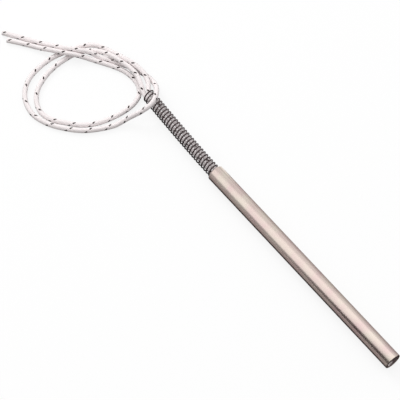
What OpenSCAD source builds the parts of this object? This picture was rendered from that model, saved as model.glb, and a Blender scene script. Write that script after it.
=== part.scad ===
// Cartridge heater for a bored plate: a swaged stainless sheath with a wound core inside,
// a coil spring as strain relief and two braided leads. It lies on its side along X, tip at +X.

/* [Sheath] */
// Outside diameter of the sheath
sheath_d = 10; // [10:0.5:16]
// Length of the sheath
sheath_l = 150; // [120:5:300]
// Wall thickness of the sheath
sheath_wall = 0.7; // [0.5:0.1:0.8]
// Outside radius of the lip that is rolled in at the lead end
lip_round = 0.9; // [0.5:0.1:0.9]
// Rounding of the outer edge at the tip
tip_round = 0.4; // [0.2:0.1:0.4]
// Depth of the end disc below the tip's edge
tip_recess = 0.8; // [0.4:0.1:1.5]
// Thickness of the welded end disc
end_disc_t = 2; // [1.5:0.1:3]

/* [Winding] */
// Number of pressed cores in the row
core_count = 6; // [4:1:10]
// Diameter of a core
core_d = 5.6; // [5.4:0.1:5.6]
// Diameter of the two pin holes in a core
core_hole_d = 1.3; // [1.3:0.05:1.5]
// Diameter of the resistance wire
wire_d = 0.4; // [0.3:0.05:0.4]
// Advance of the resistance wire in one turn
wire_pitch = 3; // [2:0.1:5]
// Thickness of the wafer behind the end disc
tip_insulator_t = 2.5; // [1.5:0.1:4]

/* [Terminals] */
// Diameter of the solid pins and of the leads' conductors
pin_d = 1.2; // [1:0.05:1.2]
// Distance between the two pins' centre lines
pin_spacing = 3; // [2.9:0.05:3]
// Outside diameter of a crimp splice
splice_d = 2; // [1.8:0.1:2.2]
// Length of a crimp splice
splice_l = 8; // [6:0.5:10]
// Outside diameter of the sleeve over a splice
sleeve_d = 2.6; // [2.4:0.1:2.6]
// Length of the plug that closes the filled stretch at the lead end
plug_l = 8; // [5:0.5:12]
// Depth of the cement plug below the mouth
seal_depth = 5; // [4:0.5:6]

/* [Leads] */
// Outside diameter of a braided lead
lead_d = 3; // [2.7:0.1:3]
// Diameter that a lead is pressed to inside the spring and the seal
lead_pressed_d = 2.7; // [2.4:0.1:2.7]

/* [Spring] */
// Outside diameter of the strain relief spring
spring_d = 8; // [7.9:0.05:8]
// Diameter of the spring's wire
spring_wire_d = 0.85; // [0.8:0.05:0.95]
// Advance of the spring in one turn
spring_pitch = 2.2; // [1.5:0.1:3]
// Length of the spring outside the sheath
spring_free_l = 64.5; // [50:0.5:64.5]
// Sideways lean of the spring's free end
spring_lean = 2.75; // [2:0.05:3]

/* [Hidden] */
$fn = 64;

// Room that a drill needs past both faces
past = 1;
// Clearance between parts that are slipped into each other
slip = 0.05;
// Clearance below and above the resistance wire as it lies on the cores
wire_slip = 0.02;
wire_cover = 0.08;

// Radii and the height of the sheath's axis above the table
sheath_r = sheath_d / 2;
bore_r = sheath_r - sheath_wall;
lip_open_r = spring_d / 2 + slip;
axis_z = sheath_r;
wire_r = wire_d / 2;
winding_r = core_d / 2 + wire_r + wire_slip;
fill_r = winding_r + wire_r + wire_cover;
pin_y = pin_spacing / 2;
lead_r = lead_d / 2;
pressed_r = lead_pressed_d / 2;

// Stations along X, from the tip towards the lead end
mouth_x = -sheath_l / 2;
disc_x1 = sheath_l / 2 - tip_recess;
disc_x0 = disc_x1 - end_disc_t;
insulator_x0 = disc_x0 - tip_insulator_t;
tail_room = 1.6;
winding_x1 = insulator_x0 - tail_room;
tail_x1 = winding_x1 + tail_room / 2;

// Gaps in the row of pieces at the lead end, and how far a sleeve reaches past its crimp
end_gap = 0.5;
sleeve_past_lead = 0.3;
sleeve_past_pin = 1.5;

// Stations along X, from the mouth inwards
seal_l = 5;
seal_x0 = mouth_x + seal_depth;
lead_inset = 12;
lead_x = mouth_x + lead_inset;
splice_x0 = lead_x + end_gap;
splice_mid = splice_x0 + splice_l / 2;
splice_x1 = splice_x0 + splice_l;
sleeve_x0 = splice_x0 - sleeve_past_lead;
sleeve_x1 = splice_x1 + sleeve_past_pin;
plug_x0 = sleeve_x1 + end_gap;
plug_x1 = plug_x0 + plug_l;
winding_x0 = plug_x1 + tail_room;
tail_x0 = winding_x0 - tail_room / 2;
pin_past_tail = 0.3;
core_l = (winding_x1 - winding_x0) / core_count;

// Power by which the spring's lean grows towards its free end
lean_growth = 1.5;

// Route of lead A: distance from the mouth, sideways, and height of its centre above the table.
// It lies on top in the spring, runs round the outside of the loop and climbs over the spring to its free end.
lead_a_route = [
    [lead_inset, pin_y, axis_z], [2, pin_y, axis_z], [-28, 2.1, 5.9], [-56, 3.5, 5.9],
    [-65, 4.2, 5.8], [-70.5, 8, 5.2], [-77, 10.1, 4.9], [-84, 9.7, 4.8], [-90.5, 8.3, 4.6],
    [-96.5, 6.9, 3.4], [-103.5, 5.2, 1.6], [-112, 1.2, lead_r], [-116.6, -5.5, lead_r], [-119.2, -14, lead_r],
    [-121.2, -24, lead_r], [-120.7, -34, lead_r], [-118.2, -43, lead_r], [-113, -50, lead_r],
    [-106, -54.3, lead_r], [-97, -55.8, lead_r], [-87.2, -53, lead_r], [-78.2, -47.2, lead_r],
    [-70.7, -40.2, lead_r], [-65.5, -32.3, lead_r], [-61.8, -24.3, lead_r], [-59, -15, 4.5],
    [-55.6, -8, 9], [-55, -2, 10.9], [-57.1, 2.9, 10.9], [-61.4, 7.2, 9], [-66.3, 10, 5.2],
    [-72, 11.6, 2.1], [-78, 10.9, lead_r], [-89, 6.5, lead_r], [-103, -1.5, lead_r],
    [-109.5, -5.7, 4.1], [-115, -10.8, 5], [-122, -16.4, 4.7], [-133, -22.6, 1.8], [-154, -36, lead_r]
];

// Route of lead B, which lies below in the spring and stays inside lead A's loop
lead_b_route = [
    [lead_inset, -pin_y, axis_z], [2, -pin_y, axis_z], [-28, -0.5, 4.1], [-57, 1, 4.1],
    [-66, 1.5, 4.3], [-72, 3.8, 5], [-78.5, 6, 4.9], [-85, 6.1, 4.8], [-91, 4.9, 4.8],
    [-97, 3.5, 4.8], [-103, 1.9, 3.2], [-109, -1.4, lead_r], [-112.6, -6, lead_r],
    [-114.8, -12, lead_r], [-115.6, -20, lead_r], [-115, -28.5, lead_r], [-112.8, -36.5, lead_r],
    [-108.8, -44, lead_r], [-102.6, -49.3, lead_r], [-95.4, -51.4, lead_r], [-88, -49.6, lead_r],
    [-81, -44.6, lead_r], [-74, -38.4, lead_r], [-69.4, -31, lead_r], [-66.8, -22.6, lead_r],
    [-65.6, -14, lead_r], [-66, -6.5, lead_r], [-68.5, -0.5, lead_r], [-73.5, 3.2, lead_r],
    [-80, 4.2, lead_r], [-86, 3.5, lead_r], [-92.5, 0.9, lead_r], [-100, -3.4, lead_r],
    [-106.5, -7.6, 2.1], [-112, -12.5, 4.4], [-117.5, -17.2, 4.9], [-124, -21.7, 4.4],
    [-131, -25.6, 2.3], [-138, -29.8, lead_r], [-148, -37, lead_r]
];

function unit(v) = v / norm(v);

// Direction of a path at point i, halfway between the stretches before and after it
function heading(path, i) =
    i == 0 ? unit(path[1] - path[0])
    : i == len(path) - 1 ? unit(path[i] - path[i - 1])
    : unit(unit(path[i + 1] - path[i]) + unit(path[i] - path[i - 1]));

// Corners of a section across a path, with a flat towards the reference direction
function section(center, along, reference, radius, sides) =
    let (side = unit(cross(along, reference)), up = cross(side, along))
    [for (k = [0 : sides - 1])
        let (turn = (k + 0.5) * 360 / sides)
        center + radius * (cos(turn) * side + sin(turn) * up)];

// Point on a helix about the sheath's axis line, with its angle counted from +Y
function on_helix(x, y, radius, angle) = [x, y + radius * cos(angle), axis_z + radius * sin(angle)];

// Round bar swept along a path as one closed solid, with one radius for each point of the path
module swept_bar(path, radii, sides, reference) {
    last = len(path) - 1;
    corners = [for (i = [0 : last])
        each section(path[i], heading(path, i), reference, radii[i], sides)];
    walls = [for (i = [0 : last - 1], k = [0 : sides - 1])
        let (a = i * sides + k, b = i * sides + (k + 1) % sides)
        each [[a, b, b + sides], [a, b + sides, a + sides]]];
    start_face = [for (k = [sides - 1 : -1 : 0]) k];
    end_face = [for (k = [0 : sides - 1]) last * sides + k];
    polyhedron(corners, concat([start_face], walls, [end_face]));
}

// Straight bar along X between two stations, beside the sheath's axis
module bar(x0, x1, radius, y = 0) {
    translate([x0, y, axis_z])
        rotate([0, 90, 0])
            cylinder(h = x1 - x0, r = radius);
}

// Bar with a hole all the way through
module tube(x0, x1, radius, hole_radius, y = 0) {
    difference() {
        bar(x0, x1, radius, y);
        bar(x0 - past, x1 + past, hole_radius, y);
    }
}

// Bar on the sheath's axis with two holes, one for each pin or lead
module two_hole_bar(x0, x1, radius, hole_radius) {
    difference() {
        bar(x0, x1, radius);
        for (side = [-1, 1])
            bar(x0 - past, x1 + past, hole_radius, side * pin_y);
    }
}

// Quarter circle of points for a rounded corner of the sheath's profile
function corner(center, radius, from) =
    [for (turn = [from : 15 : from + 90]) center + radius * [cos(turn), sin(turn)]];

// Drawn tube, rolled in round the spring at the mouth and open at the tip
module sheath() {
    color("#cdbfba")
        translate([mouth_x, 0, axis_z])
            rotate([0, 90, 0])
                rotate_extrude()
                    polygon(concat(
                        [[lip_open_r, sheath_wall], [lip_open_r, 0]],
                        corner([sheath_r - lip_round, lip_round], lip_round, -90),
                        corner([sheath_r - tip_round, sheath_l - tip_round], tip_round, 0),
                        [[bore_r, sheath_l], [bore_r, sheath_wall]]
                    ));
}

// Disc that is welded into the tip
module end_disc() {
    color("#a89a96") bar(disc_x0, disc_x1, bore_r);
}

// Pressed wafer that keeps the winding off the end disc
module tip_insulator() {
    color("#ece7dd") bar(insulator_x0, disc_x0, bore_r);
}

// One of the pressed cores that carry the winding, counted from the lead end
module core(i) {
    x0 = winding_x0 + (i - 1) * core_l;
    color("#f0ebe0") two_hole_bar(x0, x0 + core_l, core_d / 2, core_hole_d / 2);
}

// Resistance wire: a tail spirals out from the short pin, the helix follows, a tail ends at the long pin
module element_coil() {
    steps = 16;
    tail_turns = 0.4;
    tail_r = pin_y + pin_d / 2 + slip + wire_r;
    wound_l = tail_x1 - tail_x0;
    turns = floor(wound_l / wire_pitch) + 0.5;
    wound = turns - 2 * tail_turns;
    path = [for (i = [0 : floor(turns * steps)])
        let (
            done = i / steps,
            from_end = min(done, turns - done),
            radius = tail_r + (winding_r - tail_r) * min(1, from_end / tail_turns),
            share = max(0, min(1, (done - tail_turns) / wound))
        )
        on_helix(tail_x0 + wound_l * share, 0, radius, 180 + 360 * done)];
    radii = [for (p = path) wire_r];
    color("#8f8a84") swept_bar(path, radii, sides = 4, reference = [1, 0, 0]);
}

// Solid pin through all the cores to the far end of the winding
module pin_long() {
    color("#b9b5ad") bar(splice_mid, tail_x1 + pin_past_tail, pin_d / 2, pin_y);
}

// Solid pin that ends where the winding starts
module pin_short() {
    color("#b9b5ad") bar(splice_mid, tail_x0 + pin_past_tail, pin_d / 2, -pin_y);
}

// Compacted powder between the winding and the sheath
module mgo_fill() {
    color("#f4f1ea") tube(plug_x0, insulator_x0, bore_r, fill_r);
}

// Pressed plug that holds the powder in at the lead end
module lead_end_core() {
    color("#ece7dd") two_hole_bar(plug_x0, plug_x1, fill_r, core_hole_d / 2);
}

// Crimp tube over a pin's end and a bared conductor
module splice(y) {
    color("#c7c3bb") tube(splice_x0, splice_x1, splice_d / 2, pin_d / 2, y);
}

// Woven glass sleeve over a crimp
module splice_sleeve(y) {
    color("#f2efe8") tube(sleeve_x0, sleeve_x1, sleeve_d / 2, splice_d / 2, y);
}

// Bared end of a lead's conductor: one strand with six round it
module conductor(y) {
    strand_d = pin_d / 3;
    strand_gap = 0.02;
    strand_r = (strand_d - strand_gap) / 2;
    color("#b9b5ad") {
        bar(lead_x, splice_mid, strand_r, y);
        for (turn = [0 : 60 : 300])
            translate([0, strand_d * cos(turn), strand_d * sin(turn)])
                bar(lead_x, splice_mid, strand_r, y);
    }
}

// Cement plug round the leads, below the spring's inner end
module mouth_seal() {
    color("#d8cfc0") two_hole_bar(seal_x0, seal_x0 + seal_l, bore_r, pressed_r + slip);
}

// Right-handed compression spring, seated in the mouth and leaning to one side outside it
module strain_relief_spring() {
    steps = 16;
    helix_r = (spring_d - spring_wire_d) / 2;
    x_seat = seal_x0 - spring_wire_d / 2 - 2 * slip;
    x_end = mouth_x - spring_free_l + spring_wire_d / 2;
    turns = (x_seat - x_end) / spring_pitch;
    path = [for (i = [0 : floor(turns * steps)])
        let (
            done = i / steps,
            x = x_seat - spring_pitch * done,
            lean = spring_lean * pow(max(0, mouth_x - x) / spring_free_l, lean_growth)
        )
        on_helix(x, lean, helix_r, -360 * done)];
    radii = [for (p = path) spring_wire_d / 2];
    color("#4d403d") swept_bar(path, radii, sides = 6, reference = [1, 0, 0]);
}

// Braided lead along its route: pressed up to one turn past the spring's end, at its full size beyond
module lead(route) {
    path = [for (p = route) p + [mouth_x, 0, 0]];
    pressed_l = spring_free_l + spring_pitch;
    radii = [for (p = route) p[0] > -pressed_l ? pressed_r : lead_r];
    color("#f3efec") swept_bar(path, radii, sides = 8, reference = [0, 0, 1]);
}

sheath();
end_disc();
tip_insulator();
for (i = [1 : core_count])
    core(i);
element_coil();
pin_long();
pin_short();
mgo_fill();
lead_end_core();
splice(pin_y);  // splice_a
splice(-pin_y);  // splice_b
splice_sleeve(pin_y);  // splice_sleeve_a
splice_sleeve(-pin_y);  // splice_sleeve_b
conductor(pin_y);  // conductor_a
conductor(-pin_y);  // conductor_b
mouth_seal();
strain_relief_spring();
lead(lead_a_route);  // lead_a
lead(lead_b_route);  // lead_b
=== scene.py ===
import math

import bmesh
import bpy
import numpy as np
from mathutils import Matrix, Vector


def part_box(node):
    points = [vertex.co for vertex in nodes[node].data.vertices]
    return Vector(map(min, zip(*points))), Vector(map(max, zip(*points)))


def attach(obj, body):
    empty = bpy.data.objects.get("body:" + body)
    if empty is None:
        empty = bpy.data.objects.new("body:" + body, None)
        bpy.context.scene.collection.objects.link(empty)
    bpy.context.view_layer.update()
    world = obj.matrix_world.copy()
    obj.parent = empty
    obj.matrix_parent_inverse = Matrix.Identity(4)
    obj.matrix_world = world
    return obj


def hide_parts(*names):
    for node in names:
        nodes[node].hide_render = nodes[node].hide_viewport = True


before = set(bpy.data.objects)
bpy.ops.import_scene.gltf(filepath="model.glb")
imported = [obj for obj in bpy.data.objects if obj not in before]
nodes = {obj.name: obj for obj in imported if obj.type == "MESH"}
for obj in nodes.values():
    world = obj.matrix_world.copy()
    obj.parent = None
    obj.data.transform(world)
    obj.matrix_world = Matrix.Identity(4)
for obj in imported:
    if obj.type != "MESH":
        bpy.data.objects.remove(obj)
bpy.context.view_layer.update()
mm = 0.001

# The picture's own view: a long lens that looks down on the heater from beside its tip,
# so the sheath runs from the upper left to the lower right of a square picture.
view_turn = math.radians(50.6)
view_height = math.radians(62.3)
view_distance = 1.0
view_aim = Vector((-68.5 * mm, -16.1 * mm, 0))
view_back = Vector((
    math.sin(view_turn) * math.cos(view_height),
    -math.cos(view_turn) * math.cos(view_height),
    math.sin(view_height),
))
camera_data = bpy.data.cameras.new("camera")
camera_data.sensor_width = 36
camera_data.lens = 159.3
camera = bpy.data.objects.new("camera", camera_data)
camera.location = view_aim + view_back * view_distance
camera.rotation_euler = (math.radians(90) - view_height, 0, view_turn)
bpy.context.scene.collection.objects.link(camera)
bpy.context.scene.camera = camera
bpy.context.scene.view_settings.view_transform = "Standard"


# Cores, wafer, plug and fill: magnesia powder, pressed to shape and fired, or rammed in and swaged tight.
# They sit inside the sheath, carry the winding and keep it off the metal.
def linear(code):
    """Turns an sRGB hex colour into the linear colour that a shader takes."""
    channels = [int(code[i : i + 2], 16) / 255 for i in (1, 3, 5)]
    return [c / 12.92 if c <= 0.04045 else ((c + 0.055) / 1.055) ** 2.4 for c in channels] + [1]


def add_node(tree, kind, settings=None, links=None, **choices):
    """Adds a node, sets its choices and sockets, and links sockets of other nodes to it."""
    node = tree.nodes.new(kind)
    for name, value in choices.items():
        setattr(node, name, value)
    for name, value in (settings or {}).items():
        node.inputs[name].default_value = value
    for name, source in (links or {}).items():
        tree.links.new(source, node.inputs[name])
    return node


def new_material(name):
    """An empty material, with its node tree and its surface socket."""
    material = bpy.data.materials.new(name)
    material.use_nodes = True
    tree = material.node_tree
    tree.nodes.clear()
    output = add_node(tree, "ShaderNodeOutputMaterial")
    return material, tree, output.inputs["Surface"]


def two_tones(tree, dark, light, socket):
    """A colour that goes from a dark to a light tone as a socket goes from 0.3 to 0.7."""
    ramp = add_node(tree, "ShaderNodeValToRGB", links={"Fac": socket})
    ramp.color_ramp.elements[0].position = 0.3
    ramp.color_ramp.elements[0].color = linear(dark)
    ramp.color_ramp.elements[1].position = 0.7
    ramp.color_ramp.elements[1].color = linear(light)
    return ramp.outputs["Color"]


# Pressed magnesia is chalk white and quite matt, with a grain of about a third of a millimetre.
grain_size = 0.3 * mm
pressed_magnesia, tree, surface = new_material("pressed_magnesia")
place = add_node(tree, "ShaderNodeTexCoord")
grain = add_node(
    tree, "ShaderNodeTexNoise", {"Scale": 1 / grain_size, "Detail": 4}, {"Vector": place.outputs["Object"]}
)
chalk = two_tones(tree, "#e2ddd2", "#f5f2ea", grain.outputs["Fac"])
pores = add_node(
    tree, "ShaderNodeBump", {"Strength": 0.4, "Distance": 0.05 * mm}, {"Height": grain.outputs["Fac"]}
)
shader = add_node(
    tree,
    "ShaderNodeBsdfPrincipled",
    {"Roughness": 0.9, "IOR": 1.5},
    {"Base Color": chalk, "Normal": pores.outputs["Normal"]},
)
tree.links.new(shader.outputs["BSDF"], surface)


def finish_node(name, material):
    """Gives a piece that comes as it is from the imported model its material."""
    slots = nodes[name].data.materials
    slots.clear()
    slots.append(material)


for name in nodes:
    if name.startswith("core_") or name in ("tip_insulator", "mgo_fill", "lead_end_core"):
        finish_node(name, pressed_magnesia)

# Winding: nickel-chrome resistance wire, drawn and wound on the cores, with a tail at each end.
# Its first firing leaves a thin brown-grey oxide skin.
oxide_patch = 1.5 * mm
oxidised_wire, tree, surface = new_material("oxidised_nickel_chrome_wire")
place = add_node(tree, "ShaderNodeTexCoord")
patches = add_node(
    tree, "ShaderNodeTexNoise", {"Scale": 1 / oxide_patch, "Detail": 3}, {"Vector": place.outputs["Object"]}
)
shader = add_node(
    tree,
    "ShaderNodeBsdfPrincipled",
    {"Metallic": 1, "Roughness": 0.5},
    {"Base Color": two_tones(tree, "#6a625b", "#8f8881", patches.outputs["Fac"])},
)
tree.links.new(shader.outputs["BSDF"], surface)
finish_node("element_coil", oxidised_wire)

# Pins, crimp tubes and bared conductors: nickel, drawn to wire or tube and crimped together.
# Drawing leaves it silvery with a little warmth and fine lines along its length.
draw_line = 0.08 * mm
draw_length = 4 * mm
drawn_nickel, tree, surface = new_material("drawn_nickel")
place = add_node(tree, "ShaderNodeTexCoord")
stretched = add_node(
    tree,
    "ShaderNodeMapping",
    {"Scale": (1 / draw_length, 1 / draw_line, 1 / draw_line)},
    {"Vector": place.outputs["Object"]},
)
lines = add_node(
    tree, "ShaderNodeTexNoise", {"Scale": 1, "Detail": 2}, {"Vector": stretched.outputs["Vector"]}
)
shader = add_node(
    tree,
    "ShaderNodeBsdfPrincipled",
    {"Metallic": 1, "Roughness": 0.3},
    {"Base Color": two_tones(tree, "#b5b0a7", "#cfcbc2", lines.outputs["Fac"])},
)
tree.links.new(shader.outputs["BSDF"], surface)
for name in ("pin_long", "pin_short", "splice_a", "splice_b", "conductor_a", "conductor_b"):
    finish_node(name, drawn_nickel)

# Sleeves over the crimps: short lengths of woven glass tube, pushed over each crimp by hand.
# The weave is white with soft grey bands, drawn far broader than its threads, which are too fine to show.
# One unit of the wave texture, whose bands then come about every 5 mm along the sleeve
weave_unit = 8 * mm
woven_glass, tree, surface = new_material("woven_glass_sleeve")
place = add_node(tree, "ShaderNodeTexCoord")
threads = add_node(
    tree,
    "ShaderNodeTexWave",
    {"Scale": 1 / weave_unit, "Distortion": 1.5},
    {"Vector": place.outputs["Object"]},
    bands_direction="DIAGONAL",
)
shader = add_node(
    tree,
    "ShaderNodeBsdfPrincipled",
    {"Roughness": 0.7, "IOR": 1.5},
    {"Base Color": two_tones(tree, "#d9d5cd", "#f4f1ea", threads.outputs["Fac"])},
)
tree.links.new(shader.outputs["BSDF"], surface)
for name in ("splice_sleeve_a", "splice_sleeve_b"):
    finish_node(name, woven_glass)

# Mouth seal: ceramic cement, poured round the two leads behind the spring and cured.
# It is pale buff, dry and a little sandy.
sand_size = 0.25 * mm
cast_cement, tree, surface = new_material("cast_ceramic_cement")
place = add_node(tree, "ShaderNodeTexCoord")
sand = add_node(
    tree, "ShaderNodeTexNoise", {"Scale": 1 / sand_size, "Detail": 5}, {"Vector": place.outputs["Object"]}
)
shader = add_node(
    tree,
    "ShaderNodeBsdfPrincipled",
    {"Roughness": 0.95, "IOR": 1.5},
    {"Base Color": two_tones(tree, "#b9ad9b", "#dcd3c4", sand.outputs["Fac"])},
)
tree.links.new(shader.outputs["BSDF"], surface)
finish_node("mouth_seal", cast_cement)

# Sheath: stainless tube, swaged down on the fill, ground round between wheels and rolled in at the mouth.
# The tip's outer edge is only broken, and the lip at the mouth is a full round.
sheath_low, sheath_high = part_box("sheath")
sheath_r = (sheath_high.z - sheath_low.z) / 2
axis_z = (sheath_high.z + sheath_low.z) / 2
mouth_x = sheath_low.x
tip_x = sheath_high.x
sheath_wall = 0.7 * mm
bore_r = sheath_r - sheath_wall
lip_round = 0.9 * mm
lip_open_r = 4.05 * mm
tip_round = 0.4 * mm


def arc(center_x, center_r, radius, start, stop, steps):
    """Points (x, r) on an arc of a turned profile, with angles in degrees from +x."""
    turns = np.radians(np.linspace(start, stop, steps + 1))
    return [(center_x + radius * math.cos(t), center_r + radius * math.sin(t)) for t in turns]


def turned(profile, around, ripple=None):
    """Corners and faces of a profile (x, r) turned about the sheath's axis. Points with r = 0 are poles."""
    corners = []
    for k in range(around):
        turn = 2 * math.pi * k / around
        for i, (x, r) in enumerate(profile):
            push = ripple(i, turn) if ripple else 0
            corners.append((x + push, r * math.cos(turn), axis_z + r * math.sin(turn)))
    count = len(profile)
    faces = []
    for k in range(around):
        here = k * count
        there = (k + 1) % around * count
        for i in range(count - 1):
            faces.append((here + i, there + i, there + i + 1, here + i + 1))
    return corners, faces


def place_piece(name, corners, faces, material, crease):
    """A smooth, welded mesh piece that is fixed to the heater, with sharp edges above the crease angle."""
    mesh = bpy.data.meshes.new(name)
    mesh.from_pydata([tuple(c) for c in corners], [], [tuple(f) for f in faces])
    welded = bmesh.new()
    welded.from_mesh(mesh)
    bmesh.ops.remove_doubles(welded, verts=welded.verts, dist=0.001 * mm)
    welded.to_mesh(mesh)
    welded.free()
    mesh.materials.append(material)
    mesh.shade_smooth()
    mesh.set_sharp_from_angle(angle=math.radians(crease))
    piece = bpy.data.objects.new(name, mesh)
    bpy.context.scene.collection.objects.link(piece)
    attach(piece, "root")
    return piece


# Ground stainless is satin: a soft broad shine, fine lines round the tube from the wheel,
# and faint cloudy stretches where the cut was a little finer or coarser.
# The lines are drawn coarser than real ones, so that they show.
grind_line = 0.35 * mm
cloud_size = 9 * mm
ground_stainless, tree, surface = new_material("ground_stainless_steel")
place = add_node(tree, "ShaderNodeTexCoord")
ringed = add_node(
    tree,
    "ShaderNodeMapping",
    {"Scale": (1 / grind_line, 1 / cloud_size, 1 / cloud_size)},
    {"Vector": place.outputs["Object"]},
)
rings = add_node(
    tree,
    "ShaderNodeTexNoise",
    {"Scale": 1, "Detail": 3, "Roughness": 0.6},
    {"Vector": ringed.outputs["Vector"]},
)
clouds = add_node(
    tree, "ShaderNodeTexNoise", {"Scale": 1 / cloud_size, "Detail": 3}, {"Vector": place.outputs["Object"]}
)
tones = add_node(
    tree,
    "ShaderNodeMix",
    {"Factor": 0.5},
    {"A": rings.outputs["Fac"], "B": clouds.outputs["Fac"]},
    data_type="FLOAT",
)
gloss = add_node(
    tree,
    "ShaderNodeMapRange",
    {"From Min": 0.3, "From Max": 0.7, "To Min": 0.21, "To Max": 0.29},
    {"Value": tones.outputs[0]},
)
scratches = add_node(
    tree, "ShaderNodeBump", {"Strength": 0.12, "Distance": 0.02 * mm}, {"Height": rings.outputs["Fac"]}
)
shader = add_node(
    tree,
    "ShaderNodeBsdfPrincipled",
    {"Metallic": 1},
    {
        "Base Color": two_tones(tree, "#dec7c4", "#e3d8cc", clouds.outputs["Fac"]),
        "Roughness": gloss.outputs["Result"],
        "Normal": scratches.outputs["Normal"],
    },
)
tree.links.new(shader.outputs["BSDF"], surface)

lip_back_x = mouth_x + sheath_wall
sheath_profile = [(lip_back_x, bore_r), (lip_back_x, lip_open_r), (mouth_x, lip_open_r)]
sheath_profile += arc(mouth_x + lip_round, sheath_r - lip_round, lip_round, start=180, stop=90, steps=12)
sheath_profile += arc(tip_x - tip_round, sheath_r - tip_round, tip_round, start=90, stop=0, steps=8)
sheath_profile += [(tip_x, bore_r), (lip_back_x, bore_r)]
corners, faces = turned(sheath_profile, around=144)
ground_sheath = place_piece("ground_sheath", corners, faces, ground_stainless, crease=35)
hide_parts("sheath")

# End disc: a stainless slug dropped into the tip and welded to the wall without filler.
# The weld is a low rippled bead round its edge, a little below the rim.
disc_low, disc_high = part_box("end_disc")
bead_width = 0.7 * mm
bead_height = 0.35 * mm
# Share of its height that the bead has at the wall, and how far its crown is drawn towards the wall
bead_foot = 0.3
bead_skew = 1.15
bead_steps = 8
bead_ripples = 34
ripple_height = 0.04 * mm

# Welded stainless has a thin oxide skin that hides most of the metal's shine.
# Its colour is painted light and shade: a pale ragged spot low on the disc is a painted reflection, and the
# dark brown over the rest of the disc is painted shade in the recess.
skin_patch = 1.2 * mm
painted_reflection_spot = (disc_high.x, -1.2 * mm, axis_z - 1.9 * mm)
spot_inner = 1.6 * mm
spot_outer = 3 * mm
spot_ragged = 1.2 * mm
welded_stainless, tree, surface = new_material("welded_stainless_steel")
place = add_node(tree, "ShaderNodeTexCoord")
skin_noise = add_node(
    tree, "ShaderNodeTexNoise", {"Scale": 1 / skin_patch, "Detail": 4}, {"Vector": place.outputs["Object"]}
)
from_spot = add_node(
    tree,
    "ShaderNodeVectorMath",
    {1: painted_reflection_spot},
    {0: place.outputs["Object"]},
    operation="DISTANCE",
)
ragged = add_node(
    tree,
    "ShaderNodeMath",
    {1: spot_ragged},
    {0: skin_noise.outputs["Fac"], 2: from_spot.outputs["Value"]},
    operation="MULTIPLY_ADD",
)
painted_shade_share = add_node(
    tree,
    "ShaderNodeMapRange",
    {"From Min": spot_inner, "From Max": spot_outer},
    {"Value": ragged.outputs[0]},
)
skin = add_node(
    tree, "ShaderNodeBump", {"Strength": 0.3, "Distance": 0.05 * mm}, {"Height": skin_noise.outputs["Fac"]}
)
# Painted light: pale at the painted reflection spot, dark brown painted shade everywhere else on the disc
shader = add_node(
    tree,
    "ShaderNodeBsdfPrincipled",
    {"Metallic": 0.15, "Roughness": 0.5},
    {
        "Base Color": two_tones(tree, "#fff6f3", "#776669", painted_shade_share.outputs["Result"]),
        "Normal": skin.outputs["Normal"],
    },
)
tree.links.new(shader.outputs["BSDF"], surface)

bead_start = bore_r - bead_width
disc_profile = [(disc_low.x, 0), (disc_low.x, bore_r)]
bead_rows = range(len(disc_profile), len(disc_profile) + bead_steps + 1)
for step in range(bead_steps + 1):
    share = step / bead_steps
    crown = math.sin(math.pi * min(1, share * bead_skew))
    rise = bead_height * (bead_foot * (1 - share) + (1 - bead_foot) * crown)
    disc_profile.append((disc_high.x + rise, bore_r - bead_width * share))
disc_profile += [(disc_high.x, bead_start * share) for share in (0.75, 0.5, 0.25, 0)]


def bead_ripple(row, turn):
    """Ripples that run round the bead, left by the weld as it was laid."""
    return ripple_height * math.sin(bead_ripples * turn) if row in bead_rows else 0


corners, faces = turned(disc_profile, around=6 * bead_ripples, ripple=bead_ripple)
welded_end = place_piece("welded_end", corners, faces, welded_stainless, crease=50)
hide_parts("end_disc")

# Strain relief: a compression spring of round steel wire, wound right-handed and gripped by the rolled lip.
# It leans a little to one side outside the mouth, and both its ends are cut square.
spring_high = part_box("strain_relief_spring")[1]
spring_d = 8.0 * mm
spring_wire_d = 0.85 * mm
spring_pitch = 2.2 * mm
spring_free_l = 64.5 * mm
spring_lean = 2.75 * mm
# Power by which the lean grows towards the free end
lean_growth = 1.5
spring_steps = 40
wire_sides = 14


def swept(path, radii, sides, reference):
    """Corners and faces of a round bar along a path, closed at both ends."""
    path = np.asarray(path, float)
    steps = np.diff(path, axis=0)
    steps /= np.linalg.norm(steps, axis=1)[:, None]
    along = np.vstack([steps[:1], steps[1:] + steps[:-1], steps[-1:]])
    along /= np.linalg.norm(along, axis=1)[:, None]
    side = np.cross(along, reference)
    side /= np.linalg.norm(side, axis=1)[:, None]
    up = np.cross(side, along)
    turns = np.arange(sides) * 2 * math.pi / sides
    spread = np.cos(turns)[None, :, None] * side[:, None] + np.sin(turns)[None, :, None] * up[:, None]
    corners = (path[:, None] + spread * np.asarray(radii)[:, None, None]).reshape(-1, 3)
    faces = []
    for i in range(len(path) - 1):
        for k in range(sides):
            a = i * sides + k
            b = i * sides + (k + 1) % sides
            faces.append((a, a + sides, b + sides, b))
    faces.append(tuple(range(sides)))
    faces.append(tuple(reversed(range(len(corners) - sides, len(corners)))))
    return corners, faces


# Oil-tempered spring steel keeps a dark brown-black scale from the furnace, with a thin oily shine on it.
film_patch = 2.5 * mm
tempered_spring_steel, tree, surface = new_material("oil_tempered_spring_steel")
place = add_node(tree, "ShaderNodeTexCoord")
film = add_node(
    tree, "ShaderNodeTexNoise", {"Scale": 1 / film_patch, "Detail": 4}, {"Vector": place.outputs["Object"]}
)
film_gloss = add_node(
    tree,
    "ShaderNodeMapRange",
    {"From Min": 0.3, "From Max": 0.7, "To Min": 0.34, "To Max": 0.46},
    {"Value": film.outputs["Fac"]},
)
shader = add_node(
    tree,
    "ShaderNodeBsdfPrincipled",
    {"Metallic": 1},
    {
        "Base Color": two_tones(tree, "#574a4b", "#685c5d", film.outputs["Fac"]),
        "Roughness": film_gloss.outputs["Result"],
    },
)
tree.links.new(shader.outputs["BSDF"], surface)

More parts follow.
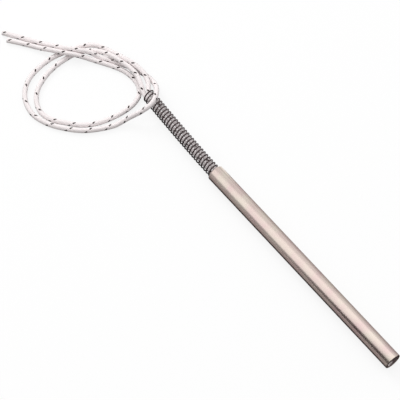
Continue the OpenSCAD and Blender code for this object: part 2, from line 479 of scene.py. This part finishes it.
coil_r = (spring_d - spring_wire_d) / 2
coil_start = spring_high.x - spring_wire_d / 2
coil_end = mouth_x - spring_free_l + spring_wire_d / 2
coil_turns = (coil_start - coil_end) / spring_pitch
done = np.arange(0, int(coil_turns * spring_steps) + 1) / spring_steps
coil_x = coil_start - spring_pitch * done
coil_lean = spring_lean * (np.maximum(0, mouth_x - coil_x) / spring_free_l) ** lean_growth
coil_path = np.stack(
    [
        coil_x,
        coil_lean + coil_r * np.cos(-2 * math.pi * done),
        axis_z + coil_r * np.sin(-2 * math.pi * done),
    ],
    axis=1,
)
wire_radii = np.full(len(coil_path), spring_wire_d / 2)
corners, faces = swept(coil_path, wire_radii, wire_sides, (1, 0, 0))
wound_spring = place_piece("wound_spring", corners, faces, tempered_spring_steel, crease=60)
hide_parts("strain_relief_spring")

# Leads: stranded nickel wire under a wrap and a braid of glass yarn, with one dark tracer yarn in the braid.
# They come out through the cement and the spring, lie in one loose loop on the table and end in a plain cut.
lead_d = 3.0 * mm
lead_r = lead_d / 2
lead_pressed_d = 2.7 * mm
pressed_r = lead_pressed_d / 2
pin_y = 1.5 * mm
lead_inset = 12 * mm
lead_sides = 40
lead_step = 0.28 * mm
curve_steps = 24

# The braid has eight yarns each way, two over and two under, and goes once round the lead in each lay.
# It is rolled by a small share of a turn, which sets where across the lead the tracer's dashes show.
yarns_each_way = 8
yarns_over = 2
weave_repeat = 2 * yarns_over
braid_lay = 11.4 * mm
braid_turn = 0.07
braid_relief = 0.11 * mm

# At the cut the braid is folded in over the wrap, and the conductor's strands stand out a little inside it
wrap_r = lead_r - 0.75 * braid_relief
fold_r = 0.97 * wrap_r
fold_depth = 0.2 * mm
wrap_l = 4 * mm
wrap_edge_l = 0.15 * mm
wrap_set_back = 0.02 * mm
wrap_edge_share = 0.9
strand_count = 7
strand_r = 0.19 * mm
strand_spacing = 0.4 * mm
strand_l = 1 * mm
strand_edge_l = 0.05 * mm
strand_edge_share = 0.8
strand_stand_out = 0.05 * mm

# The spring and the cement press each lead a little, and it swells to its full size past the spring's end
pressed_l = lead_inset + spring_free_l + spring_wire_d
swell_l = 6 * mm

# Points of each route in millimetres: distance from the mouth, sideways, and height of the lead's centre
inside = axis_z / mm
lying = lead_r / mm
lead_a_route = [
    (12, 1.5, inside), (2, 1.5, inside), (-28, 2.1, 5.9), (-56, 3.5, 5.9),
    (-65, 4.2, 5.8), (-70.5, 8, 5.2), (-77, 10.1, 4.9), (-84, 9.7, 4.8), (-90.5, 8.3, 4.6),
    (-96.5, 6.9, 3.4), (-103.5, 5.2, 1.6), (-112, 1.2, lying), (-116.6, -5.5, lying), (-119.2, -14, lying),
    (-121.2, -24, lying), (-120.7, -34, lying), (-118.2, -43, lying), (-113, -50, lying),
    (-106, -54.3, lying), (-97, -55.8, lying), (-87.2, -53, lying), (-78.2, -47.2, lying),
    (-70.7, -40.2, lying), (-65.5, -32.3, lying), (-61.8, -24.3, lying), (-59, -15, 4.5),
    (-55.6, -8, 9), (-55, -2, 10.9), (-57.1, 2.9, 10.9), (-61.4, 7.2, 9), (-66.3, 10, 5.2),
    (-72, 11.6, 2.1), (-78, 10.9, lying), (-89, 6.5, lying), (-103, -1.5, lying),
    (-109.5, -5.7, 4.1), (-115, -10.8, 5), (-122, -16.4, 4.7), (-133, -22.6, 1.8), (-154, -36, lying),
]
lead_b_route = [
    (12, -1.5, inside), (2, -1.5, inside), (-28, -0.5, 4.1), (-57, 1, 4.1),
    (-66, 1.5, 4.3), (-72, 3.8, 5), (-78.5, 6, 4.9), (-85, 6.1, 4.8), (-91, 4.9, 4.8),
    (-97, 3.5, 4.8), (-103, 1.9, 3.2), (-109, -1.4, lying), (-112.6, -6, lying),
    (-114.8, -12, lying), (-115.6, -20, lying), (-115, -28.5, lying), (-112.8, -36.5, lying),
    (-108.8, -44, lying), (-102.6, -49.3, lying), (-95.4, -51.4, lying), (-88, -49.6, lying),
    (-81, -44.6, lying), (-74, -38.4, lying), (-69.4, -31, lying), (-66.8, -22.6, lying),
    (-65.6, -14, lying), (-66, -6.5, lying), (-68.5, -0.5, lying), (-73.5, 3.2, lying),
    (-80, 4.2, lying), (-86, 3.5, lying), (-92.5, 0.9, lying), (-100, -3.4, lying),
    (-106.5, -7.6, 2.1), (-112, -12.5, 4.4), (-117.5, -17.2, 4.9), (-124, -21.7, 4.4),
    (-131, -25.6, 2.3), (-138, -29.8, lying), (-148, -37, lying),
]


def smooth_route(route):
    """A smooth curve through a route's points, in metres, with its points evenly spaced along it."""
    points = np.array(route, float) * mm + np.array((mouth_x, 0, 0))
    ends = np.vstack([2 * points[0] - points[1], points, 2 * points[-1] - points[-2]])
    curve = []
    for i in range(1, len(ends) - 2):
        p0, p1, p2, p3 = ends[i - 1 : i + 3]
        t1 = np.linalg.norm(p1 - p0) ** 0.5
        t2 = t1 + np.linalg.norm(p2 - p1) ** 0.5
        t3 = t2 + np.linalg.norm(p3 - p2) ** 0.5
        for t in np.linspace(t1, t2, curve_steps, endpoint=False):
            a1 = p0 + (p1 - p0) * t / t1
            a2 = p1 + (p2 - p1) * (t - t1) / (t2 - t1)
            a3 = p2 + (p3 - p2) * (t - t2) / (t3 - t2)
            b1 = a1 + (a2 - a1) * t / t2
            b2 = a2 + (a3 - a2) * (t - t1) / (t3 - t1)
            curve.append(b1 + (b2 - b1) * (t - t1) / (t2 - t1))
    curve = np.array(curve + [points[-1]])
    curve[:, 2] = np.maximum(curve[:, 2], lead_r)
    walked = np.concatenate([[0], np.cumsum(np.linalg.norm(np.diff(curve, axis=0), axis=1))])
    stops = np.linspace(0, walked[-1], round(walked[-1] / lead_step) + 1)
    even = np.stack([np.interp(stops, walked, curve[:, k]) for k in range(3)], axis=1)
    return even, stops


def carried_frames(path):
    """Side and up directions that are carried along a path without twisting about it."""
    along = np.gradient(path, axis=0)
    along /= np.linalg.norm(along, axis=1)[:, None]
    sides = [np.cross(along[0], (0, 0, 1))]
    for direction in along:
        side = sides[-1] - direction * np.dot(sides[-1], direction)
        sides.append(side / np.linalg.norm(side))
    side = np.array(sides[1:])
    return side, np.cross(along, side)


def braid_height(turn, lays):
    """Height of a two-over-two-under braid, 0 to 1, at a share of a turn and a number of lays."""
    left = yarns_each_way * (turn + lays)
    right = yarns_each_way * (turn - lays)
    phase = np.mod(np.floor(left) - np.floor(right), weave_repeat)
    left_over = phase < yarns_over
    across = np.where(left_over, left, right) % 1
    start = np.where(left_over, np.floor(left), np.floor(right) + yarns_over)
    passed = np.where(left_over, start - right, left - start) % weave_repeat
    crown = 1 - (2 * across - 1) ** 2
    arch = np.sin(np.pi * np.clip(passed / yarns_over, 0, 1))
    return (crown + arch) / 2


# Braided glass yarn is off-white with a silky thread, and is drawn greyer towards the gaps between yarns as
# painted shade.
# The tracer is dyed dark brown, and shows as slanted dashes where it comes over the other yarns.
# The many filaments of a yarn are too fine to show, and are drawn as seven ridges.
filaments = 7
glass_braid, tree, surface = new_material("braided_glass_yarn")
place = add_node(tree, "ShaderNodeUVMap", uv_map="braid")
split = add_node(tree, "ShaderNodeSeparateXYZ", links={"Vector": place.outputs["UV"]})
turn_part = add_node(
    tree, "ShaderNodeMath", {1: yarns_each_way}, {0: split.outputs["X"]}, operation="MULTIPLY"
)
lay_part = add_node(
    tree, "ShaderNodeMath", {1: yarns_each_way}, {0: split.outputs["Y"]}, operation="MULTIPLY"
)
left = add_node(
    tree, "ShaderNodeMath", links={0: turn_part.outputs[0], 1: lay_part.outputs[0]}, operation="ADD"
)
right = add_node(
    tree, "ShaderNodeMath", links={0: turn_part.outputs[0], 1: lay_part.outputs[0]}, operation="SUBTRACT"
)
left_yarn = add_node(tree, "ShaderNodeMath", links={0: left.outputs[0]}, operation="FLOOR")
right_yarn = add_node(tree, "ShaderNodeMath", links={0: right.outputs[0]}, operation="FLOOR")
crossing = add_node(
    tree, "ShaderNodeMath", links={0: left_yarn.outputs[0], 1: right_yarn.outputs[0]}, operation="SUBTRACT"
)
phase = add_node(
    tree, "ShaderNodeMath", {1: weave_repeat}, {0: crossing.outputs[0]}, operation="FLOORED_MODULO"
)
left_over = add_node(
    tree, "ShaderNodeMath", {1: yarns_over - 0.5}, {0: phase.outputs[0]}, operation="LESS_THAN"
)
carrier = add_node(
    tree, "ShaderNodeMath", {1: yarns_each_way}, {0: left_yarn.outputs[0]}, operation="FLOORED_MODULO"
)
first_carrier = add_node(tree, "ShaderNodeMath", {1: 0.5}, {0: carrier.outputs[0]}, operation="LESS_THAN")
tracer = add_node(
    tree, "ShaderNodeMath", links={0: left_over.outputs[0], 1: first_carrier.outputs[0]}, operation="MULTIPLY"
)
top_yarn = add_node(
    tree,
    "ShaderNodeMix",
    links={"Factor": left_over.outputs[0], "A": right.outputs[0], "B": left.outputs[0]},
    data_type="FLOAT",
)
across = add_node(tree, "ShaderNodeMath", links={0: top_yarn.outputs[0]}, operation="FRACT")
middle = add_node(tree, "ShaderNodeMath", {1: 0.5}, {0: across.outputs[0]}, operation="SUBTRACT")
from_middle = add_node(tree, "ShaderNodeMath", links={0: middle.outputs[0]}, operation="ABSOLUTE")
# Painted shade: each yarn turns from off-white to grey towards its edges, where it dips into the gaps between
# yarns
gap_shade = add_node(
    tree,
    "ShaderNodeMapRange",
    {"From Min": 0.3, "From Max": 0.5, "To Min": 1, "To Max": 0},
    {"Value": from_middle.outputs[0]},
)
strand = add_node(
    tree, "ShaderNodeMath", {1: filaments * 2 * math.pi}, {0: across.outputs[0]}, operation="MULTIPLY"
)
strand_wave = add_node(tree, "ShaderNodeMath", links={0: strand.outputs[0]}, operation="SINE")
strand_bump = add_node(
    tree, "ShaderNodeBump", {"Strength": 0.25, "Distance": 0.03 * mm}, {"Height": strand_wave.outputs[0]}
)
shaded_yarn_color = add_node(
    tree,
    "ShaderNodeMix",
    {"A": linear("#e2d8d8"), "B": linear("#fbf4f4")},
    {"Factor": gap_shade.outputs["Result"]},
    data_type="RGBA",
)
lead_color = add_node(
    tree,
    "ShaderNodeMix",
    {"B": linear("#2e2320")},
    {"Factor": tracer.outputs[0], "A": shaded_yarn_color.outputs["Result"]},
    data_type="RGBA",
)
shader = add_node(
    tree,
    "ShaderNodeBsdfPrincipled",
    {"Roughness": 0.65, "IOR": 1.5},
    {"Base Color": lead_color.outputs["Result"], "Normal": strand_bump.outputs["Normal"]},
)
tree.links.new(shader.outputs["BSDF"], surface)


def braided_lead(name, route, tracer_start):
    """The braid of one lead as a closed tube along its route, and the path that it follows."""
    path, stops = smooth_route(route)
    side, up = carried_frames(path)
    turn = np.arange(lead_sides) / lead_sides
    lays = stops / braid_lay + tracer_start
    height = braid_height(turn[None, :] + braid_turn, lays[:, None])
    outside = np.interp(stops, [pressed_l, pressed_l + swell_l], [pressed_r, lead_r])
    radius = outside[:, None] - braid_relief * (1 - height)
    spread = np.cos(2 * math.pi * turn)[None, :, None] * side[:, None]
    spread = spread + np.sin(2 * math.pi * turn)[None, :, None] * up[:, None]
    rings = path[:, None] + spread * radius[:, :, None]
    folded = path[-1] + spread[-1] * fold_r
    fold_bottom = folded - fold_depth * (path[-1] - path[-2]) / np.linalg.norm(path[-1] - path[-2])
    corners = np.concatenate([rings, [folded, fold_bottom]]).reshape(-1, 3)
    lays = np.append(lays, [lays[-1], lays[-1]])
    last = len(lays) - 1
    faces = []
    marks = []
    for i in range(last):
        for k in range(lead_sides):
            a = i * lead_sides + k
            b = i * lead_sides + (k + 1) % lead_sides
            faces.append((a, b, b + lead_sides, a + lead_sides))
            start = k / lead_sides + braid_turn
            stop = (k + 1) / lead_sides + braid_turn
            marks += [(start, lays[i]), (stop, lays[i]), (stop, lays[i + 1]), (start, lays[i + 1])]
    for ring, order in ((0, range(lead_sides - 1, -1, -1)), (last, range(lead_sides))):
        faces.append(tuple(ring * lead_sides + k for k in order))
        marks += [(k / lead_sides + braid_turn, lays[ring]) for k in order]
    piece = place_piece(name, corners, faces, glass_braid, crease=180)
    piece.data.uv_layers.new(name="braid").data.foreach_set("uv", np.array(marks).ravel())
    return piece, path


def cut_end(name, path):
    """The cut end inside a braid: the glass wrap's face with the conductor's seven strands in it."""
    end = path[-1]
    along = path[-1] - path[-4]
    along /= np.linalg.norm(along)
    upright = (0, 0, 1)
    wrap_path = [end - along * back for back in (wrap_l, wrap_edge_l, wrap_set_back)]
    wrap_radii = (wrap_r, wrap_r, wrap_r * wrap_edge_share)
    corners, faces = swept(wrap_path, wrap_radii, sides=32, reference=upright)
    wrap = place_piece(name + "_wrap", corners, faces, woven_glass, crease=40)
    side = np.cross(along, upright)
    side /= np.linalg.norm(side)
    up = np.cross(side, along)
    corners = []
    faces = []
    strand_radii = (strand_r, strand_r, strand_r * strand_edge_share)
    for k in range(strand_count):
        turn = 2 * math.pi * k / (strand_count - 1)
        reach = strand_spacing if k else 0
        offset = (side * math.cos(turn) + up * math.sin(turn)) * reach
        tip = end + offset + along * strand_stand_out
        strand_path = [tip - along * back for back in (strand_l, strand_edge_l, 0)]
        more, rims = swept(strand_path, strand_radii, sides=10, reference=upright)
        faces += [tuple(f + len(corners) for f in rim) for rim in rims]
        corners += list(more)
    strands = place_piece(name + "_strands", corners, faces, drawn_nickel, crease=40)
    return [wrap, strands]


# Lays by which each braid starts ahead come last, and set where along the lead the tracer's dashes show
for letter, route, side_y, tracer_start in (
    ("a", lead_a_route, pin_y, -0.47),
    ("b", lead_b_route, -pin_y, 0.15),
):
    lead, path = braided_lead("braided_lead_" + letter, route, tracer_start)
    end_pieces = cut_end("lead_" + letter + "_cut", path)
    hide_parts("lead_" + letter)

# Table: a plain white sheet of board that the heater lies on.
# It is seen as clean white, and takes a soft shadow where the heater touches it.
table_size = 8.0
white_board, tree, surface = new_material("white_board")
rays = add_node(tree, "ShaderNodeLightPath")
camera_or_gloss = add_node(
    tree,
    "ShaderNodeMath",
    links={0: rays.outputs["Is Camera Ray"], 1: rays.outputs["Is Glossy Ray"]},
    operation="MAXIMUM",
)
seen = add_node(
    tree,
    "ShaderNodeMath",
    links={0: camera_or_gloss.outputs[0], 1: rays.outputs["Is Transmission Ray"]},
    operation="MAXIMUM",
)
glow = add_node(tree, "ShaderNodeEmission", {"Color": linear("#ffffff"), "Strength": 0.84})
matt = add_node(tree, "ShaderNodeBsdfDiffuse", {"Color": linear("#6c6c6c")})
seen_board = add_node(
    tree, "ShaderNodeAddShader", links={0: glow.outputs["Emission"], 1: matt.outputs["BSDF"]}
)
plain_board = add_node(tree, "ShaderNodeBsdfDiffuse", {"Color": linear("#9a9898")})
board = add_node(
    tree,
    "ShaderNodeMixShader",
    links={"Fac": seen.outputs[0], 1: plain_board.outputs["BSDF"], 2: seen_board.outputs["Shader"]},
)
tree.links.new(board.outputs["Shader"], surface)
half = table_size / 2
table_mesh = bpy.data.meshes.new("table")
table_corners = [(-half, -half, 0), (half, -half, 0), (half, half, 0), (-half, half, 0)]
table_mesh.from_pydata(table_corners, [], [(0, 1, 2, 3)])
table_mesh.materials.append(white_board)
table = bpy.data.objects.new("table", table_mesh)
bpy.context.scene.collection.objects.link(table)

# Studio: a pale room that darkens towards the horizon and to the front, with a broad strip lamp overhead
# and a softbox on the leads' side. The strip gives the steel its bright band, and the softbox gives each
# lead a light and a shaded side.
front_direction = (0.5, -0.87, 0)
front_dimmed_to = 0.55
room = bpy.data.worlds.new("studio")
bpy.context.scene.world = room
room.use_nodes = True
tree = room.node_tree
tree.nodes.clear()
place = add_node(tree, "ShaderNodeTexCoord")
split = add_node(tree, "ShaderNodeSeparateXYZ", links={"Vector": place.outputs["Generated"]})
height = add_node(tree, "ShaderNodeValToRGB", links={"Fac": split.outputs["Z"]})
height.color_ramp.elements[0].position = 0
height.color_ramp.elements[0].color = (0.45, 0.44, 0.44, 1)
height.color_ramp.elements[1].position = 0.45
height.color_ramp.elements[1].color = (0.9, 0.9, 0.9, 1)
ceiling = height.color_ramp.elements.new(0.95)
ceiling.color = (0.7, 0.7, 0.7, 1)
front = add_node(
    tree,
    "ShaderNodeVectorMath",
    {1: front_direction},
    {0: place.outputs["Generated"]},
    operation="DOT_PRODUCT",
)
front_shade = add_node(
    tree,
    "ShaderNodeMapRange",
    {"From Min": -0.2, "From Max": 0.9, "To Min": 1, "To Max": front_dimmed_to},
    {"Value": front.outputs["Value"]},
)
sky = add_node(
    tree,
    "ShaderNodeBackground",
    links={"Color": height.outputs["Color"], "Strength": front_shade.outputs["Result"]},
)
add_node(tree, "ShaderNodeOutputWorld", links={"Surface": sky.outputs["Background"]})


def soft_lamp(name, width, length, energy, spot, lean, turn):
    """A rectangular lamp that looks down, leaned about Y and turned about Z."""
    lamp_data = bpy.data.lights.new(name, "AREA")
    lamp_data.shape = "RECTANGLE"
    lamp_data.size = width
    lamp_data.size_y = length
    lamp_data.energy = energy
    lamp = bpy.data.objects.new(name, lamp_data)
    lamp.location = spot
    lamp.rotation_euler = (0, lean, turn)
    bpy.context.scene.collection.objects.link(lamp)
    return lamp


strip_spot = (-0.4, -0.45, 1.2)
strip_turn = math.radians(-18)
soft_lamp("overhead_strip", 0.75, 3.2, 4.2, strip_spot, lean=0, turn=strip_turn)

# The softbox is left out of all reflections, so that the steel's bright band comes from the strip
softbox_spot = (-1.4, 0.1, 1.1)
softbox_lean = math.atan2(softbox_spot[0], softbox_spot[2])
softbox = soft_lamp("side_softbox", 0.8, 0.8, 11, softbox_spot, lean=softbox_lean, turn=0)
softbox.visible_glossy = False


# Cards: the grey and dark cards that are put round bright steel so that its edges read against white.
# They show in reflections alone. Grey ones lie beside the heater, dark ones are along its front
# and past its tip, and one more stands upright in front. The two dark ones that lie on the table are
# painted shadow: they stand for the table in the heater's shade beside its body and in front of its tip.
def card(name, tone, corners):
    """A flat card that shows in reflections alone."""
    card_board, tree, surface = new_material(name + "_board")
    board = add_node(tree, "ShaderNodeBsdfDiffuse", {"Color": linear(tone)})
    tree.links.new(board.outputs["BSDF"], surface)
    mesh = bpy.data.meshes.new(name)
    mesh.from_pydata(corners, [], [(0, 1, 2, 3)])
    mesh.materials.append(card_board)
    sheet = bpy.data.objects.new(name, mesh)
    bpy.context.scene.collection.objects.link(sheet)
    sheet.visible_camera = False
    sheet.visible_diffuse = False
    sheet.visible_transmission = False
    sheet.visible_shadow = False


def on_table(x0, x1, y0, y1):
    """Corners of a card on the table."""
    lift = 0.1 * mm
    return [(x0, y0, lift), (x1, y0, lift), (x1, y1, lift), (x0, y1, lift)]


back_x = mouth_x - 0.07
front_x = tip_x + 0.25
contact_y = 11 * mm
card_reach = 0.15
# Painted shadow: a dark strip beside the heater that stands for its contact shadow on the table, seen in the
# steel
card("painted_contact_shadow", "#484343", on_table(back_x, tip_x, -contact_y, 0))
card("near_card", "#a49f9f", on_table(back_x, tip_x, -card_reach, -contact_y))
card("far_card", "#b0abab", on_table(mouth_x, tip_x, 0, card_reach))
# Painted shadow: a dark card past the tip that stands for the shaded table in front of it, seen in the tip's
# steel
card("painted_tip_shadow", "#453f3f", on_table(tip_x, front_x, -card_reach, card_reach))

tip_end_reach = 0.3
tip_end_corners = [
    (front_x, -tip_end_reach, 0),
    (front_x, tip_end_reach, 0),
    (front_x, tip_end_reach, tip_end_reach),
    (front_x, -tip_end_reach, tip_end_reach),
]
card("tip_end_card", "#453f3f", tip_end_corners)

black_y = -0.45
black_left = -0.13
black_right = 0.4
black_left_top = 0.28
black_right_top = 0.85
black_corners = [
    (black_left, black_y, 0),
    (black_right, black_y, 0),
    (black_right, black_y, black_right_top),
    (black_left, black_y, black_left_top),
]
card("black_card", "#5e5656", black_corners)
